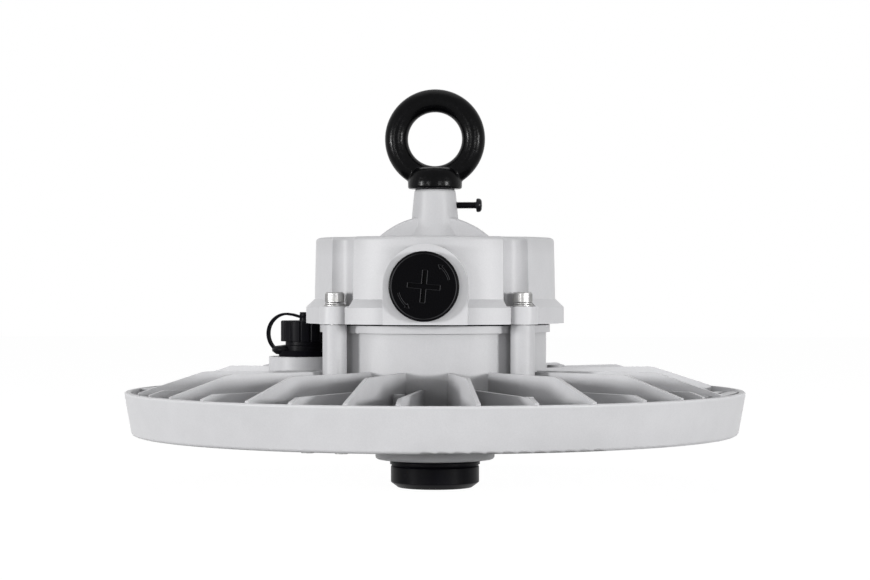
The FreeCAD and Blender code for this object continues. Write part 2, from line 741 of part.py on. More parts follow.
lock_screw = new_body("eye_lock_screw")
lock_screw.Placement = FreeCAD.Placement(FreeCAD.Vector(), FreeCAD.Rotation(FreeCAD.Vector(0, 1, 0), 90))
lock_screw.setExpression("Placement.Base.z", formula("lock_axis"))
lock_turn = spun(lock_screw, "lock_shank_and_head", [
    ("0", "eye_shank_radius"),
    ("lock_screw_radius", "eye_shank_radius"),
    ("lock_screw_radius", "lock_screw_reach"),
    ("lock_head_radius", "lock_screw_reach"),
    ("lock_head_radius", "lock_screw_reach + lock_head_height"),
    ("0", "lock_screw_reach + lock_head_height"),
])
rounded(lock_screw, "lock_head_round", lock_turn,
        ring_edge("lock_head_radius", "lock_screw_reach + lock_head_height"), "lock_head_height / 2")
crossed(lock_screw, "lock_cross", "lock_cross_half", "lock_cross_wide",
        "lock_screw_reach + lock_head_height - lock_cross_depth", "lock_cross_depth")

# ---------------------------------------------------------------- blanking plug
turned_to_front = FreeCAD.Rotation(FreeCAD.Vector(1, 0, 0), 90)


def facing_front(label):
    """Body modelled about Z and turned so that its Z points to the front, on the plug's axis."""
    body = new_body(label)
    body.Placement = FreeCAD.Placement(FreeCAD.Vector(), turned_to_front)
    body.setExpression("Placement.Base.z", formula("plug_axis"))
    return body


plug = facing_front("blanking_plug")
plug_turn = spun(plug, "plug_head_and_thread", [
    ("0", "plug_seat - plug_thread_length"),
    ("plug_thread", "plug_seat - plug_thread_length"),
    ("plug_thread", "plug_seat"),
    ("plug_radius", "plug_seat"),
    ("plug_radius", "plug_seat + plug_head"),
    ("0", "plug_seat + plug_head"),
])
rounded(plug, "plug_edge", plug_turn, ring_edge("plug_radius", "plug_seat + plug_head"), "plug_head / 3")
crossed(plug, "plug_slot", "plug_slot_half", "plug_slot_wide", "plug_seat + plug_head - plug_slot_depth",
        "plug_slot_depth")
plug_seal = facing_front("plug_seal")
spun(plug_seal, "plug_seal_ring", [
    ("plug_bore", "plug_boss_face"),
    ("plug_seal_radius", "plug_boss_face"),
    ("plug_seal_radius", "plug_seat"),
    ("plug_bore", "plug_seat"),
])


# ---------------------------------------------------------------- lead connector and its cap
def at_connector(label):
    """Body modelled about Z, moved to the connector's axis, its X pointing away from the middle."""
    body = new_body(label)
    body.setExpression("Placement.Base.x", formula("connector_x"))
    body.setExpression("Placement.Base.y", formula("connector_y"))
    body.Placement.Rotation = FreeCAD.Rotation(FreeCAD.Vector(0, 0, 1), 270 - number("connector_angle"))
    return body


connector_seal = at_connector("connector_seal")
spun(connector_seal, "connector_seal_ring", [
    ("connector_lead_radius", "connector_seat"),
    ("connector_seal_radius", "connector_seat"),
    ("connector_seal_radius", "connector_foot"),
    ("connector_lead_radius", "connector_foot"),
])
connector_socket = at_connector("connector_socket")
spun(connector_socket, "connector_turning", [
    ("connector_lead_radius", "connector_foot"),
    ("connector_base_radius", "connector_foot"),
    ("connector_base_radius", "connector_neck"),
    ("connector_neck_radius", "connector_neck"),
    ("connector_neck_radius", "connector_thread"),
    ("connector_thread_radius", "connector_thread"),
    ("connector_thread_radius", "connector_top"),
    ("connector_lead_radius", "connector_top"),
])
connector_cap = at_connector("connector_cap")
cap_turn = spun(connector_cap, "cap_cup_and_button", [
    ("cap_inside", "connector_thread"),
    ("cap_radius", "connector_thread"),
    ("cap_radius", "cap_top"),
    ("button_radius", "cap_top"),
    ("button_radius", "button_top - button_head_height"),
    ("button_head_radius", "button_top - button_head_height"),
    ("button_head_radius", "button_top"),
    ("0", "button_top"),
    ("0", "connector_top"),
    ("cap_inside", "connector_top"),
])
rounded(connector_cap, "cap_round", cap_turn, ring_edge("cap_radius", "cap_top"), "cap_edge")
flutes = 16
discs(connector_cap, "cap_flutes", "connector_thread",
      [polar("cap_radius + cap_flute / 2", "%d * 360 / %d" % (turn, flutes)) for turn in range(flutes)],
      "cap_flute", "cap_top - connector_thread", cut=True)

# the strap: an eye on the button, a loop to the left, and a thick tail on a ring round the base
cap_strap = at_connector("cap_strap")
cap_strap.Placement.Rotation = FreeCAD.Rotation(FreeCAD.Vector(0, 0, 1), 180 - number("strap_turn"))
eye_under = "cap_top + strap_eye_lift"
loop = new_sketch(cap_strap, "strap_side", "XZ_Plane")
outline(loop, [
    ("0 - button_radius - strap_eye", eye_under),
    ("button_radius + strap_eye", eye_under),
    ("strap_shoulder", "strap_top - strap_thick - strap_shoulder_drop"),
    ("strap_bend", "strap_top - strap_thick", (("strap_bend", "strap_middle"), False)),
    ("strap_bend + (strap_half - strap_thick) * cos(strap_tail_angle)",
     "strap_middle - (strap_half - strap_thick) * sin(strap_tail_angle)"),
    ("connector_base_radius", "connector_neck"),
    ("connector_base_radius", "strap_middle - strap_half * sin(strap_foot_angle)"),
    ("strap_bend + strap_half * cos(strap_foot_angle)",
     "strap_middle - strap_half * sin(strap_foot_angle)", (("strap_bend", "strap_middle"), True)),
    ("strap_bend", "strap_top"),
    ("strap_shoulder", "strap_top - strap_shoulder_drop"),
    ("button_radius + strap_eye", eye_under + " + strap_thick"),
    ("0 - button_radius - strap_eye", eye_under + " + strap_thick"),
])
padded(cap_strap, "strap_loop", loop, "strap_wide", middle=True)
discs(cap_strap, "strap_eye_pad", eye_under, on_axis, "button_radius + strap_eye", "strap_thick")
discs(cap_strap, "strap_eye_hole", "cap_top", on_axis, "button_radius", "button_height", cut=True)
discs(cap_strap, "strap_ring", "connector_foot", on_axis, "strap_ring_radius", "strap_ring_thick")
discs(cap_strap, "strap_ring_hole", "connector_foot", on_axis, "connector_base_radius",
      "connector_base_height", cut=True)

# ---------------------------------------------------------------- light engine, under the plate
six_angles = ["%d" % turn for turn in range(30, 390, 60)]
board_screw_places = [polar("board_outer - small_head_radius - clearance", angle) for angle in six_angles]
led_board = new_body("led_board")
spun(led_board, "board_ring", [
    ("board_inner", "board_under"),
    ("board_outer", "board_under"),
    ("board_outer", "plate_under"),
    ("board_inner", "plate_under"),
])
discs(led_board, "board_screw_holes", "board_under", board_screw_places, "small_hole",
      "board_thick", cut=True)
discs(heat_sink, "board_screw_taps", "plate_under", board_screw_places, "small_hole",
      "small_screw_length - board_thick + clearance", cut=True)


def small_screws(label, seat, places, upwards, head_height="small_head_height"):
    """Pan-head screws on one seat; the shanks point up or down from there."""
    body = new_body(label)
    head_foot = seat + " - " + head_height if upwards else seat
    shank_foot = seat if upwards else seat + " - small_screw_length"
    discs(body, label + "_heads", head_foot, places, "small_head_radius", head_height)
    discs(body, label + "_shanks", shank_foot, places, "small_screw_radius", "small_screw_length")


small_screws("board_screws", "board_under", board_screw_places, True, "board_head_height")

chip_rings = 3
chips_in_ring = 24
led_chips = new_body("led_chips")
chip_plan = new_sketch(led_chips, "chip_plan", "XY_Plane", "board_under - chip_height")
for ring in range(chip_rings):
    middle = "chip_ring_inner + %d * chip_ring_pitch" % ring
    strip(chip_plan, "0", middle + " - chip_size / 2", middle + " + chip_size / 2", "chip_size")
chips = padded(led_chips, "chips", chip_plan, "chip_height")


def around(body, name, feature, count):
    """Polar pattern about Z."""
    axis = [item for item in body.Origin.OriginFeatures if item.Role == "Z_Axis"][0]
    pattern = body.newObject("PartDesign::PolarPattern", name)
    pattern.Originals = [feature]
    pattern.Axis = (axis, [""])
    pattern.Angle = 360
    pattern.Occurrences = count
    body.Tip = pattern


around(led_chips, "all_chips", chips, chips_in_ring)

lens_plate = new_body("lens_plate")
spun(lens_plate, "lens_ring", [
    ("lens_inner", "lens_under"),
    ("lens_outer", "lens_under"),
    ("lens_outer", "lens_seat"),
    ("lens_outer - lens_edge", "lens_seat"),
    ("lens_outer - lens_edge", "lens_under + lens_thick"),
    ("lens_inner + lens_edge", "lens_under + lens_thick"),
    ("lens_inner + lens_edge", "lens_seat"),
    ("lens_inner", "lens_seat"),
])
dome_round = "((lens_dome_radius ^ 2 + lens_dome_height ^ 2) / (2 * lens_dome_height))"
for ring in range(chip_rings):
    middle = "chip_ring_inner + %d * chip_ring_pitch" % ring
    profile = new_sketch(lens_plate, "dome_profile_%d" % ring, "XZ_Plane")
    outline(profile, [
        (middle, "lens_under - lens_dome_height",
         ((middle, "lens_under - lens_dome_height + " + dome_round), True)),
        (middle + " + lens_dome_radius", "lens_under"),
        (middle + " + lens_dome_radius", "lens_under + lens_thick / 2"),
        (middle, "lens_under + lens_thick / 2"),
    ])
    axis_top = FreeCAD.Vector(number(middle), number("plate_under"), 0)
    axis_foot = FreeCAD.Vector(number(middle), 0, 0)
    axis_line = profile.addGeometry(Part.LineSegment(axis_foot, axis_top), True)
    hold(profile, axis_line, 1, (middle, "0"))
    hold(profile, axis_line, 2, (middle, "plate_under"))
    dome = lens_plate.newObject("PartDesign::Revolution", "dome_%d" % ring)
    dome.Profile = profile
    dome.ReferenceAxis = (profile, ["Axis0"])
    dome.Angle = 360
    around(lens_plate, "domes_%d" % ring, dome, chips_in_ring)
pair_angles = ["%d * 90 - lens_screw_turn %s lens_screw_pair" % (quarter, side)
               for quarter in range(4) for side in "+-"]
lens_screw_places = [polar("lens_screw_circle", angle) for angle in pair_angles]
discs(lens_plate, "lens_screw_holes", "lens_under", lens_screw_places, "lens_screw_radius + screw_gap",
      "lens_seat - lens_under", cut=True)
discs(heat_sink, "lens_screw_taps", "plate_under", lens_screw_places, "lens_screw_radius + screw_gap",
      "lens_screw_grip + clearance", cut=True)

lens_gaskets = new_body("lens_gaskets")
for name, outer in (("outer_gasket", "lens_outer"), ("inner_gasket", "lens_inner + lens_edge")):
    spun(lens_gaskets, name, [
        (outer + " - lens_edge", "lens_seat"), (outer, "lens_seat"),
        (outer, "plate_under"), (outer + " - lens_edge", "plate_under"),
    ])
discs(lens_gaskets, "gasket_screw_holes", "lens_seat", lens_screw_places,
      "lens_screw_radius + screw_gap", "lens_gasket_thick", cut=True)

lens_screws = new_body("lens_screws")
discs(lens_screws, "lens_screw_heads", "lens_under - lens_screw_head_height", lens_screw_places,
      "lens_screw_head", "lens_screw_head_height")
discs(lens_screws, "lens_screw_shanks", "lens_under", lens_screw_places, "lens_screw_radius",
      "plate_under - lens_under + lens_screw_grip")

# ---------------------------------------------------------------- sensor under the middle
sensor_collar = new_body("sensor_collar")
collar_turn = spun(sensor_collar, "collar_turning", [
    ("socket_radius + clearance", "collar_foot"),
    ("collar_foot_radius", "collar_foot"),
    ("collar_radius", "collar_foot + collar_slope"),
    ("collar_radius", "plate_under"),
    ("collar_radius - collar_flange", "plate_under"),
    ("collar_radius - collar_flange", "plate_under - collar_wall"),
    ("collar_inside", "plate_under - collar_wall"),
    ("collar_inside", "collar_floor"),
    ("socket_radius + clearance", "collar_floor"),
])
rounded(sensor_collar, "collar_round", collar_turn,
        ring_edge("collar_radius", "collar_foot + collar_slope"), "collar_edge")
three_angles = ["60", "180", "300"]
collar_screw_places = [polar("collar_screw_circle", angle) for angle in three_angles]
discs(sensor_collar, "collar_screw_holes", "plate_under - collar_wall", collar_screw_places,
      "small_hole", "collar_wall", cut=True)
discs(heat_sink, "collar_screw_taps", "plate_under", collar_screw_places, "small_hole",
      "small_screw_length - collar_wall + clearance", cut=True)
small_screws("collar_screws", "plate_under - collar_wall", collar_screw_places, True)

sensor_socket = new_body("sensor_socket")
spun(sensor_socket, "socket_turning", [
    ("0", "collar_foot - socket_reach"),
    ("socket_radius", "collar_foot - socket_reach"),
    ("socket_radius", "collar_floor"),
    ("socket_radius + socket_flange", "collar_floor"),
    ("socket_radius + socket_flange", "collar_floor + socket_flange"),
    ("socket_radius - socket_flange", "collar_floor + socket_flange"),
    ("socket_radius - socket_flange", "collar_floor + socket_height"),
    ("0", "collar_floor + socket_height"),
])
sensor_seal = new_body("sensor_seal")
spun(sensor_seal, "sensor_seal_ring", [
    ("sensor_radius - sensor_seal_width", "sensor_height"),
    ("sensor_radius", "sensor_height"),
    ("sensor_radius", "collar_foot"),
    ("sensor_radius - sensor_seal_width", "collar_foot"),
])
lip_foot = "sensor_height - sensor_lip_height"
sensor_cap = new_body("sensor_cap")
spun(sensor_cap, "sensor_cap_turning", [
    ("0", "0"),
    ("sensor_radius - sensor_chamfer", "0"),
    ("sensor_radius", "sensor_chamfer_height"),
    ("sensor_radius", lip_foot + " - 2 * sensor_groove"),
    ("sensor_radius - sensor_groove", lip_foot + " - sensor_groove"),
    ("sensor_radius", lip_foot),
    ("sensor_radius + sensor_lip", lip_foot),
    ("sensor_radius + sensor_lip", "sensor_height"),
    ("socket_radius + clearance", "sensor_height"),
    ("socket_radius + clearance", "sensor_height - sensor_wall"),
    ("sensor_radius - sensor_wall", "sensor_height - sensor_wall"),
    ("sensor_radius - sensor_wall", "sensor_chamfer_height"),
    ("sensor_radius - sensor_chamfer - sensor_wall", "sensor_wall"),
    ("0", "sensor_wall"),
])

# ---------------------------------------------------------------- inside the drum
wire_grommet = new_body("wire_grommet")
spun(wire_grommet, "grommet_turning", [
    ("wire_hole - grommet_wall", "plate_under - grommet_flange_thick"),
    ("wire_hole + grommet_flange", "plate_under - grommet_flange_thick"),
    ("wire_hole + grommet_flange", "plate_under"),
    ("wire_hole", "plate_under"),
    ("wire_hole", "plate_top"),
    ("wire_hole - grommet_wall", "plate_top"),
])


def block(body, name, long, wide, height, lift, shift="0"):
    """Upright rectangular block, centred on the axis or shifted along X."""
    plan = new_sketch(body, name + "_plan", "XY_Plane", lift)
    left, right = ["%s %s (%s) / 2" % (shift, sign, long) for sign in "-+"]
    outline(plan, [(left, "0 - %s / 2" % wide), (right, "0 - %s / 2" % wide),
                   (right, "%s / 2" % wide), (left, "%s / 2" % wide)])
    return padded(body, name, plan, height)


driver = new_body("driver")
block(driver, "driver_feet", "driver_long + 2 * driver_foot_long", "driver_wide / 2", "driver_foot",
      "plate_top")
block(driver, "driver_case", "driver_long", "driver_wide", "driver_high - driver_foot",
      "plate_top + driver_foot")
foot_places = [(side + " (driver_long + driver_foot_long) / 2", across)
               for side in ("0 -", "0 +") for across in ("0 - driver_wide / 6", "driver_wide / 6")]
discs(driver, "driver_foot_holes", "plate_top", foot_places, "small_hole", "driver_foot", cut=True)
discs(heat_sink, "driver_taps", "plate_under + plate_thick / 8", foot_places, "small_hole",
      "plate_thick * 7 / 8", cut=True)
small_screws("driver_screws", "plate_top + driver_foot", foot_places, False)

terminal_block = new_body("terminal_block")
block(terminal_block, "terminal_case", "terminal_long", "terminal_wide", "terminal_high", "driver_top")
poles = 3
pole_pitch = "(terminal_long / %d)" % poles
pole_places = [("(%d - %d / 2 + 0.5) * %s" % (pole, poles, pole_pitch), "0") for pole in range(poles)]
discs(terminal_block, "terminal_wells", "driver_top + terminal_high / 2", pole_places,
      "terminal_wide / 6", "terminal_high / 2", cut=True)
terminal_screws = new_body("terminal_screws")
discs(terminal_screws, "terminal_screw_slugs", "driver_top + terminal_high / 2", pole_places,
      "terminal_wide / 6 - clearance", "terminal_high / 6")

# ---------------------------------------------------------------- check, then write each node
doc.recompute()
failed = [item.Name for item in doc.Objects if {"Invalid", "Error"} & set(item.State)]
if failed:
    raise SystemExit("failed objects: " + ", ".join(failed))
nodes = [item for item in doc.Objects if item.TypeId == "PartDesign::Body" and item is not eye_stem]
nodes.append(eye_bolt)
for node in nodes:
    if node.Shape.isNull() or not node.Shape.isValid() or not node.Shape.Solids:
        raise SystemExit("bad shape: " + node.Label)
for node in nodes:
    node.Shape.exportStep("parts/%s.step" % node.Label)
print(len(nodes), "nodes written")
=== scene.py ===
import json
import math
import bpy
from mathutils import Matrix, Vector


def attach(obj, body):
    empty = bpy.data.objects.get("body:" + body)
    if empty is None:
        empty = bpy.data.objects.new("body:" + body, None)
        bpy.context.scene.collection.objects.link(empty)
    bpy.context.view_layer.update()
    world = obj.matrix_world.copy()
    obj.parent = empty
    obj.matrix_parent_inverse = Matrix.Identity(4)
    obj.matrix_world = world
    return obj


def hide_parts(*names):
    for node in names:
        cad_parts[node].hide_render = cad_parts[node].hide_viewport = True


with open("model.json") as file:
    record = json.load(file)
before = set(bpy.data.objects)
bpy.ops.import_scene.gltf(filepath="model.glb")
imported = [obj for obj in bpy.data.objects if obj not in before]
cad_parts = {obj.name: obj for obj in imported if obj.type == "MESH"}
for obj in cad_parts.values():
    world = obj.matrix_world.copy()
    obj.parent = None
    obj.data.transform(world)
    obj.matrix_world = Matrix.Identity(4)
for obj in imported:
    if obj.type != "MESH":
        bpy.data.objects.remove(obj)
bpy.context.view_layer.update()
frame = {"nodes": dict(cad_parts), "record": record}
nodes = frame["nodes"]
print("frame loaded:", len(nodes), "nodes")


# a shader socket with arithmetic
class Wire:
    def __init__(self, tree, socket=None):
        self.tree = tree
        self.socket = socket

    # any node: its type, the settings that go first, the values or links of its sockets, and
    # which of its outputs is wanted
    def add(self, kind, settings=None, sockets=None, out=0):
        node = self.tree.nodes.new("ShaderNode" + kind)
        for name, value in (settings or {}).items():
            if name == "stops":
                self.setStops(node.color_ramp, value)
            else:
                setattr(node, name, value)
        for key, value in (sockets or {}).items():
            self.feed(node.inputs[key], value)
        return Wire(self.tree, node.outputs[out] if node.outputs else None)

    def setStops(self, ramp, stops):
        while len(ramp.elements) < len(stops):
            ramp.elements.new(0.5)
        for element, (place, shade) in zip(ramp.elements, stops):
            element.position = place
            element.color = (shade, shade, shade, 1)

    def feed(self, socket, value):
        if isinstance(value, Wire):
            self.tree.links.new(value.socket, socket)
        else:
            socket.default_value = value

    def maths(self, operation, *values):
        return self.add("Math", {"operation": operation}, dict(enumerate(values)))

    def __add__(self, other):
        return self.maths("ADD", self, other)

    def __sub__(self, other):
        return self.maths("SUBTRACT", self, other)

    def __rsub__(self, other):
        return self.maths("SUBTRACT", other, self)

    def __mul__(self, other):
        return self.maths("MULTIPLY", self, other)

    __radd__ = __add__
    __rmul__ = __mul__

    def ramp(self, *stops):
        return self.add("ValToRGB", {"stops": stops}, {"Fac": self})

    # colour between two colours, self is the share of the second
    def blend(self, first, second):
        return self.add("Mix", {"data_type": "RGBA"}, {0: self, 6: first, 7: second}, out=2)

    def noise(self, perMetre, detail, roughness):
        return self.add("TexNoise", None, {
            "Vector": self.place(), "Scale": perMetre, "Detail": detail, "Roughness": roughness})

    # object coordinates
    def place(self):
        return self.add("TexCoord", out=3)

    # a roughness that varies evenly round its middle
    def spreadRound(self, middle, spread):
        return self * spread + (middle - spread / 2)

    # 1 for rays from the camera, off gloss and through glass
    def seenDirectly(self):
        camera, glossy, transmission = [self.add("LightPath", out=place) for place in (0, 3, 6)]
        return self.maths("MAXIMUM", self.maths("MAXIMUM", camera, glossy), transmission)

    def bump(self, height, strength, distance, under=None):
        sockets = {"Height": height, "Strength": strength, "Distance": distance}
        if under:
            sockets["Normal"] = under
        return self.add("Bump", None, sockets)


def newMaterial(name):
    material = bpy.data.materials.new(name)
    material.use_nodes = True
    tree = material.node_tree
    tree.nodes.clear()
    return material, Wire(tree)


def finishMaterial(material, wire, sockets):
    shader = wire.add("BsdfPrincipled", None, sockets)
    wire.add("OutputMaterial", None, {"Surface": shader})
    return material


def rgb(shade, tint=(1, 1, 1)):
    return tuple(shade * part for part in tint) + (1,)


# powder coat on the castings, with painted shade in its corners
powderCoat = {
    "shade": 0.64,              # linear
    "tint": (1.0, 1.0, 1.024),
    "lightest": 1.02,           # shares of the shade between which the coat varies
    "deepest": 0.96,
    "toneStops": ((0.38, 0.0), (0.62, 1.0)),
    "grainPerMetre": 1500,
    "grainHeight": 0.00006,
    "grainStrength": 0.35,
    "mottlePerMetre": 90,
    "roughness": 0.43,
    "roughnessSpread": 0.10,
    "gloss": 0.4,
    # painted shade and light: the coat is darker on the drum and columns and near the cover's top, and
    # lighter on the rim; places in metres and shares of the shade
    "sinkRadii": (0.062, 0.078, 0.130, 0.136),
    "sinkPaintedLightAndShade": (0.87, 1.0, 1.0, 1.05),
    "coverHeights": (0.104, 0.113),
    "coverPaintedShade": (1.0, 0.88),
    "paintedShadeReach": 0.02,        # how far from a corner the painted shade reaches
    "paintedCornerShadeShare": 0.62,        # share of the shade left in a deep corner by the painted shade
    "paintedShadeSamples": 4,
    "longest": 0.2,             # the places and shares above stay under these two
    "highest": 1.1,
}


# painted light and shade: the coat's share of its full shade, from a length in metres between stops
def paintedLightAndShadeShare(length, stops, paintedShares):
    longest, highest = powderCoat["longest"], powderCoat["highest"]
    steps = [(stop / longest, paintedShare / highest) for stop, paintedShare in zip(stops, paintedShares)]
    return (length * (1 / longest)).ramp(*steps) * highest


def paintedLightAndShadeAcross(wire):
    flat = wire.add("VectorMath", {"operation": "MULTIPLY"}, {0: wire.place(), 1: (1, 1, 0)})
    radius = wire.add("VectorMath", {"operation": "LENGTH"}, {0: flat}, out=1)
    return paintedLightAndShadeShare(radius, powderCoat["sinkRadii"], powderCoat["sinkPaintedLightAndShade"])


def paintedShadeUpwards(wire):
    height = wire.add("SeparateXYZ", None, {"Vector": wire.place()}, out=2)
    return paintedLightAndShadeShare(height, powderCoat["coverHeights"], powderCoat["coverPaintedShade"])


def makePowderCoat(name, paintedShare=None):
    material, wire = newMaterial(name)
    grain = wire.noise(powderCoat["grainPerMetre"], detail=3.0, roughness=0.6)
    mottle = wire.noise(powderCoat["mottlePerMetre"], detail=4.0, roughness=0.55)
    light = rgb(powderCoat["shade"] * powderCoat["lightest"], powderCoat["tint"])
    deep = rgb(powderCoat["shade"] * powderCoat["deepest"], powderCoat["tint"])
    tone = (mottle * 0.5 + grain * 0.5).ramp(*powderCoat["toneStops"])
    # painted shade: the coat is darker where the surface is closed in, in corners and between parts
    openness = wire.add("AmbientOcclusion", {"samples": powderCoat["paintedShadeSamples"], "only_local": True},
                        {"Distance": powderCoat["paintedShadeReach"]}, out=1)
    paintedShade = openness * (1 - powderCoat["paintedCornerShadeShare"]) + powderCoat["paintedCornerShadeShare"]
    # painted light and shade by place, on the two large castings
    if paintedShare:
        paintedShade = paintedShade * paintedShare(wire)
    coat = wire.add("VectorMath", {"operation": "SCALE"}, {0: tone.blend(deep, light), 3: paintedShade})
    return finishMaterial(material, wire, {
        "Base Color": coat,
        "Roughness": mottle.spreadRound(powderCoat["roughness"], powderCoat["roughnessSpread"]),
        "Normal": wire.bump(grain, powderCoat["grainStrength"], powderCoat["grainHeight"]),
        "Specular IOR Level": powderCoat["gloss"],
    })


# black coat on the forging, slightly rough under the gloss
forgedCoat = {
    "tint": (1, 0.97, 1.4),
    "deepest": 0.0004,
    "lightest": 0.0014,
    "toneStops": ((0.35, 0.0), (0.7, 1.0)),
    "peelPerMetre": 700,
    "peelHeight": 0.0002,
    "peelStrength": 0.35,
    "swellPerMetre": 160,
    "swellHeight": 0.0005,
    "swellStrength": 0.3,
    "roughness": 0.23,
    "roughnessSpread": 0.22,
    "gloss": 0.085,
}


def makeForgedBlack(name):
    material, wire = newMaterial(name)
    peel = wire.noise(forgedCoat["peelPerMetre"], detail=3.0, roughness=0.6)
    swell = wire.noise(forgedCoat["swellPerMetre"], detail=2.0, roughness=0.5)
    tone = peel.ramp(*forgedCoat["toneStops"])
    deep = rgb(forgedCoat["deepest"], forgedCoat["tint"])
    light = rgb(forgedCoat["lightest"], forgedCoat["tint"])
    swollen = wire.bump(swell, forgedCoat["swellStrength"], forgedCoat["swellHeight"])
    return finishMaterial(material, wire, {
        "Base Color": tone.blend(deep, light),
        "Roughness": peel.spreadRound(forgedCoat["roughness"], forgedCoat["roughnessSpread"]),
        "Normal": wire.bump(peel, forgedCoat["peelStrength"], forgedCoat["peelHeight"], swollen),
        "Specular IOR Level": forgedCoat["gloss"],
    })


# black mouldings and blacked steel
blackMoulding = {
    "deepest": 0.8,             # shares of the shade between which the black varies
    "deepTint": (1, 0.96, 1.5),
    "lightest": 1.25,
    "lightTint": (1, 0.96, 1.6),
    "toneStops": ((0.3, 0.0), (0.7, 1.0)),
    "cloudPerMetre": 140,
    "grainPerMetre": 2200,
    "grainHeight": 0.00005,
    "grainStrength": 0.3,
    "roughnessSpread": 0.12,
}


# the deepest and the lightest black round a shade
def blacksRound(shade):
    return (rgb(shade * blackMoulding["deepest"], blackMoulding["deepTint"]),
            rgb(shade * blackMoulding["lightest"], blackMoulding["lightTint"]))


def makeMouldedBlack(name, shade, roughness, gloss, grainPerMetre=blackMoulding["grainPerMetre"]):
    material, wire = newMaterial(name)
    grain = wire.noise(grainPerMetre, detail=2.0, roughness=0.6)
    cloud = wire.noise(blackMoulding["cloudPerMetre"], detail=3.0, roughness=0.5)
    return finishMaterial(material, wire, {
        "Base Color": cloud.ramp(*blackMoulding["toneStops"]).blend(*blacksRound(shade)),
        "Roughness": cloud.spreadRound(roughness, blackMoulding["roughnessSpread"]),
        "Specular IOR Level": gloss,
        "Normal": wire.bump(grain, blackMoulding["grainStrength"], blackMoulding["grainHeight"]),
    })


# black moulding with a painted highlight on its sloping edges, most where they face the sides
highlightPaintedBlack = {
    "shade": 0.0009,
    "paintedHighlightShade": 0.085,
    "paintedHighlightTint": (1, 1, 1.05),
    "slopeStops": ((0.3, 0.0), (0.5, 1.0), (0.92, 1.0), (0.97, 0.0)),     # 1 faces the front
    "elsewhere": 0.15,          # share of the painted highlight on other edges
    "roughness": 0.26,
    "gloss": 0.045,
}


def makeHighlightPaintedBlack(name, middle, reach):
    material, wire = newMaterial(name)
    grain = wire.noise(blackMoulding["grainPerMetre"], detail=2.0, roughness=0.6)
    # how far the surface faces along X and along Y
    facing = wire.add("TexCoord", out=1)
    across, out = [wire.maths("ABSOLUTE", wire.add("SeparateXYZ", None, {"Vector": facing}, out=axis))
                   for axis in (0, 1)]
    distance = wire.add("VectorMath", {"operation": "DISTANCE"}, {0: wire.place(), 1: middle}, out=1)
    inside = wire.maths("LESS_THAN", distance, reach)
    slope = out.ramp(*highlightPaintedBlack["slopeStops"])
    least = highlightPaintedBlack["elsewhere"]
    # painted highlight: pale on sloping edges, strongest where they face the sides and near the middle
    edge = slope * (across * (1 - least) + least) * (inside * (1 - least) + least)
    dark = grain.blend(*blacksRound(highlightPaintedBlack["shade"]))
    return finishMaterial(material, wire, {
        "Base Color": edge.blend(dark, rgb(highlightPaintedBlack["paintedHighlightShade"], highlightPaintedBlack["paintedHighlightTint"])),
        "Roughness": grain.spreadRound(highlightPaintedBlack["roughness"], blackMoulding["roughnessSpread"]),
        "Specular IOR Level": highlightPaintedBlack["gloss"],
        "Normal": wire.bump(grain, blackMoulding["grainStrength"], blackMoulding["grainHeight"]),
    })


zincSteel = {
    "shade": 0.44,
    "tint": (1.0, 0.99, 0.97),
    "stainShare": 0.82,         # share of the shade in a stain
    "stainStops": ((0.3, 0.0), (0.75, 1.0)),
    "stainPerMetre": 220,
    "scratchPerMetre": 900,
    "scratchHeight": 0.00003,
    "scratchStrength": 0.15,
    "roughness": 0.36,
    "roughnessSpread": 0.18,
}


def makeSteel(name):
    material, wire = newMaterial(name)
    scratch = wire.noise(zincSteel["scratchPerMetre"], detail=4.0, roughness=0.7)
    stain = wire.noise(zincSteel["stainPerMetre"], detail=3.0, roughness=0.5)
    stained = rgb(zincSteel["shade"] * zincSteel["stainShare"])
    clean = rgb(zincSteel["shade"], zincSteel["tint"])
    return finishMaterial(material, wire, {
        "Base Color": stain.ramp(*zincSteel["stainStops"]).blend(stained, clean),
        "Metallic": 1.0,
        "Roughness": scratch.spreadRound(zincSteel["roughness"], zincSteel["roughnessSpread"]),
        "Normal": wire.bump(scratch, zincSteel["scratchStrength"], zincSteel["scratchHeight"]),
    })


# board, chips and the cases inside the drum
plainFinish = {
    "deepest": 0.93,            # share of the colour where it is deepest
    "toneStops": ((0.35, 0.0), (0.65, 1.0)),
    "grainPerMetre": 1200,
    "grainHeight": 0.00005,
    "grainStrength": 0.15,
    "roughnessSpread": 0.1,
}


def makePlain(name, colour, roughness):
    material, wire = newMaterial(name)
    grain = wire.noise(plainFinish["grainPerMetre"], detail=3.0, roughness=0.6)
    deep, light = rgb(plainFinish["deepest"], colour), rgb(1, colour)
    return finishMaterial(material, wire, {
        "Base Color": grain.ramp(*plainFinish["toneStops"]).blend(deep, light),
        "Roughness": grain.spreadRound(roughness, plainFinish["roughnessSpread"]),
        "Normal": wire.bump(grain, plainFinish["grainStrength"], plainFinish["grainHeight"]),
    })


clearLens = {
    "thin": (0.9207, 0.93, 0.93),
    "thick": (0.97, 0.97, 0.97),
    "toneStops": ((0.3, 0.0), (0.7, 1.0)),
    "ripplePerMetre": 60,
    "rippleHeight": 0.0002,
    "rippleStrength": 0.1,
    "roughness": 0.085,
    "roughnessSpread": 0.05,
    "bending": 1.58,            # index of refraction
    "clearness": 0.9,
}


def makeLens(name):
    material, wire = newMaterial(name)
    ripple = wire.noise(clearLens["ripplePerMetre"], detail=2.0, roughness=0.5)
    tone = ripple.ramp(*clearLens["toneStops"])
    return finishMaterial(material, wire, {
        "Base Color": tone.blend(rgb(1, clearLens["thin"]), rgb(1, clearLens["thick"])),
        "Roughness": ripple.spreadRound(clearLens["roughness"], clearLens["roughnessSpread"]),
        "IOR": clearLens["bending"],
        "Transmission Weight": clearLens["clearness"],
        "Normal": wire.bump(ripple, clearLens["rippleStrength"], clearLens["rippleHeight"]),
    })


